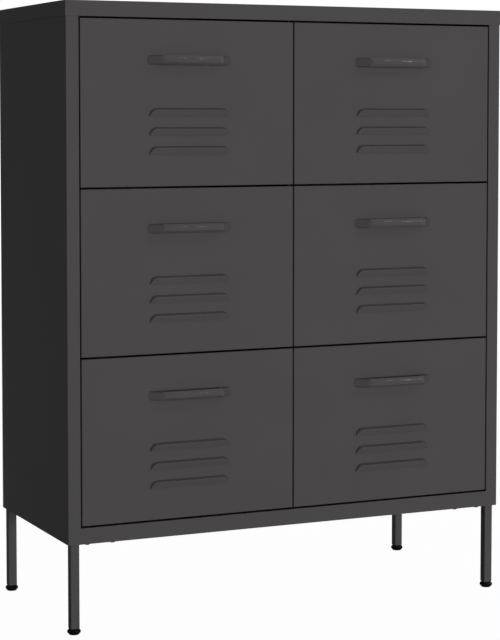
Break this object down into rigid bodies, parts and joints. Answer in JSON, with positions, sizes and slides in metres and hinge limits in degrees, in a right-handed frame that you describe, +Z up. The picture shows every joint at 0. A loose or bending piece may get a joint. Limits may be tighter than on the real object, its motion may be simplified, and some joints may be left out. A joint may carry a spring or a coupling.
{
  "type": "metal drawer cabinet",
  "caption": "Free-standing sheet-steel cabinet with columns of louvred drawers on ball-bearing slides and slim square-tube legs.",
  "frame": {"origin": "on the floor, under the middle of the whole object, handles included", "axes": "+Z up, -Y out of the drawer fronts, +X to the right of someone who faces the front"},
  "size_m": [0.8, 0.3708, 1.015],
  "materials": {
    "powder_coat": "matte powder coat",
    "handle_coat": "satin powder coat",
    "black_plastic": "moulded",
    "zinc_steel": "bright zinc plate",
    "black_steel": "black oxide"
  },
  "bodies": {
    "cabinet": {"top_cover": "powder_coat", "left_side_panel": "powder_coat", "right_side_panel": "powder_coat", "back_panel": "powder_coat", "bottom_panel": "powder_coat", "centre_divider": "powder_coat", "top_rail": "powder_coat", "front_left_leg": "powder_coat", "front_right_leg": "powder_coat", "rear_left_leg": "powder_coat", "rear_right_leg": "powder_coat", "front_left_foot": "black_plastic", "front_right_foot": "black_plastic", "rear_left_foot": "black_plastic", "rear_right_foot": "black_plastic", "leg_bolts": "black_steel", "leg_nuts": "zinc_steel", "rear_screws": "zinc_steel", "lower_left_cabinet_slides": "zinc_steel", "lower_right_cabinet_slides": "zinc_steel", "middle_left_cabinet_slides": "zinc_steel", "middle_right_cabinet_slides": "zinc_steel", "upper_left_cabinet_slides": "zinc_steel", "upper_right_cabinet_slides": "zinc_steel"},
    "lower_left_drawer": {"lower_left_front": "powder_coat", "lower_left_box": "powder_coat", "lower_left_handle": "handle_coat", "lower_left_screws": "zinc_steel", "lower_left_drawer_slides": "zinc_steel"},
    "lower_left_cages": {"lower_left_ball_cages": "zinc_steel"},
    "lower_right_drawer": {"lower_right_front": "powder_coat", "lower_right_box": "powder_coat", "lower_right_handle": "handle_coat", "lower_right_screws": "zinc_steel", "lower_right_drawer_slides": "zinc_steel"},
    "lower_right_cages": {"lower_right_ball_cages": "zinc_steel"},
    "middle_left_drawer": {"middle_left_front": "powder_coat", "middle_left_box": "powder_coat", "middle_left_handle": "handle_coat", "middle_left_screws": "zinc_steel", "middle_left_drawer_slides": "zinc_steel"},
    "middle_left_cages": {"middle_left_ball_cages": "zinc_steel"},
    "middle_right_drawer": {"middle_right_front": "powder_coat", "middle_right_box": "powder_coat", "middle_right_handle": "handle_coat", "middle_right_screws": "zinc_steel", "middle_right_drawer_slides": "zinc_steel"},
    "middle_right_cages": {"middle_right_ball_cages": "zinc_steel"},
    "upper_left_drawer": {"upper_left_front": "powder_coat", "upper_left_box": "powder_coat", "upper_left_handle": "handle_coat", "upper_left_screws": "zinc_steel", "upper_left_drawer_slides": "zinc_steel"},
    "upper_left_cages": {"upper_left_ball_cages": "zinc_steel"},
    "upper_right_drawer": {"upper_right_front": "powder_coat", "upper_right_box": "powder_coat", "upper_right_handle": "handle_coat", "upper_right_screws": "zinc_steel", "upper_right_drawer_slides": "zinc_steel"},
    "upper_right_cages": {"upper_right_ball_cages": "zinc_steel"}
  },
  "joints": [
    {"name": "lower_left_travel", "type": "slide", "parent": "cabinet", "child": "lower_left_drawer", "axis": [0, -1, 0], "range_m": [0, 0.225]},
    {"name": "lower_left_cage_travel", "type": "slide", "parent": "cabinet", "child": "lower_left_cages", "axis": [0, -1, 0], "range_m": [0, 0.1125]},
    {"name": "lower_right_travel", "type": "slide", "parent": "cabinet", "child": "lower_right_drawer", "axis": [0, -1, 0], "range_m": [0, 0.225]},
    {"name": "lower_right_cage_travel", "type": "slide", "parent": "cabinet", "child": "lower_right_cages", "axis": [0, -1, 0], "range_m": [0, 0.1125]},
    {"name": "middle_left_travel", "type": "slide", "parent": "cabinet", "child": "middle_left_drawer", "axis": [0, -1, 0], "range_m": [0, 0.225]},
    {"name": "middle_left_cage_travel", "type": "slide", "parent": "cabinet", "child": "middle_left_cages", "axis": [0, -1, 0], "range_m": [0, 0.1125]},
    {"name": "middle_right_travel", "type": "slide", "parent": "cabinet", "child": "middle_right_drawer", "axis": [0, -1, 0], "range_m": [0, 0.225]},
    {"name": "middle_right_cage_travel", "type": "slide", "parent": "cabinet", "child": "middle_right_cages", "axis": [0, -1, 0], "range_m": [0, 0.1125]},
    {"name": "upper_left_travel", "type": "slide", "parent": "cabinet", "child": "upper_left_drawer", "axis": [0, -1, 0], "range_m": [0, 0.225]},
    {"name": "upper_left_cage_travel", "type": "slide", "parent": "cabinet", "child": "upper_left_cages", "axis": [0, -1, 0], "range_m": [0, 0.1125]},
    {"name": "upper_right_travel", "type": "slide", "parent": "cabinet", "child": "upper_right_drawer", "axis": [0, -1, 0], "range_m": [0, 0.225]},
    {"name": "upper_right_cage_travel", "type": "slide", "parent": "cabinet", "child": "upper_right_cages", "axis": [0, -1, 0], "range_m": [0, 0.1125]}
  ],
  "couplings": [
    {"joint": "lower_left_cage_travel", "follows": "lower_left_travel", "ratio": 0.5},
    {"joint": "lower_right_cage_travel", "follows": "lower_right_travel", "ratio": 0.5},
    {"joint": "middle_left_cage_travel", "follows": "middle_left_travel", "ratio": 0.5},
    {"joint": "middle_right_cage_travel", "follows": "middle_right_travel", "ratio": 0.5},
    {"joint": "upper_left_cage_travel", "follows": "upper_left_travel", "ratio": 0.5},
    {"joint": "upper_right_cage_travel", "follows": "upper_right_travel", "ratio": 0.5}
  ]
}
